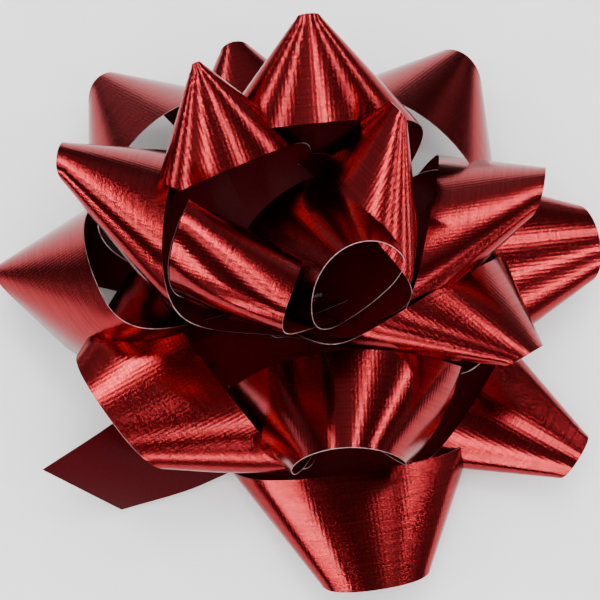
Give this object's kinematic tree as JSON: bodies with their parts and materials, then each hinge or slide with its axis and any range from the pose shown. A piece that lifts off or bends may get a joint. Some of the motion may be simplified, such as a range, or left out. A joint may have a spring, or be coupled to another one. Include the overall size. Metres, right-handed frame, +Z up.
{
  "type": "pre-made gift bow",
  "caption": "Star-shaped gift bow of looped metallic ribbon, stapled to a round card with an adhesive pad and a peel-off release liner.",
  "frame": {"origin": "centre of the release liner's underside, on the staple's line, with the bow standing on z = 0", "axes": "+Z up through the staple to the centre loops, +X to the viewer's right and -Y towards the viewer, so the broad outer loop lies near -Y and the ribbon's tail near -X -Y"},
  "size_m": [0.0974, 0.0936, 0.0442],
  "materials": {
    "ribbon_film": "metallized film with a fine lengthwise grain",
    "ribbon_back": "unmetallized matte back of the film",
    "staple_wire": "bright zinc-coated wire",
    "card": "uncoated white card",
    "pad_foam": "double-sided adhesive foam",
    "liner_paper": "silicone-coated release paper"
  },
  "bodies": {
    "bow": {"centre_loop_1": "ribbon_film", "centre_loop_2": "ribbon_film", "inner_loop_1": "ribbon_film", "inner_loop_2": "ribbon_film", "inner_loop_3": "ribbon_film", "middle_loop_1": "ribbon_film", "middle_loop_2": "ribbon_film", "middle_loop_3": "ribbon_film", "middle_loop_4": "ribbon_film", "middle_loop_5": "ribbon_film", "outer_loop_1": "ribbon_film", "outer_loop_2": "ribbon_film", "outer_loop_3": "ribbon_film", "outer_loop_4": "ribbon_film", "outer_loop_5": "ribbon_film", "outer_loop_6": "ribbon_film", "outer_loop_7": "ribbon_film", "ribbon_tail_root": "ribbon_back", "ribbon_centre_stack": "ribbon_film", "staple": "staple_wire", "backing_card": "card", "adhesive_pad": "pad_foam"},
    "tail": {"ribbon_tail": "ribbon_back"},
    "liner": {"release_liner": "liner_paper"}
  },
  "joints": [
    {"name": "liner_peel", "type": "slide", "parent": "bow", "child": "liner", "axis": [0, 0, -1], "range_m": [0, 0.03]},
    {"name": "tail_flex", "type": "hinge", "parent": "bow", "child": "tail", "pos_m": [-0.0207, -0.0252, 0.0066], "axis": [-0.7344, 0.4463, 0.5113], "range_deg": [-5, 20], "stiffness_Nm_per_rad": 0.005}
  ]
}
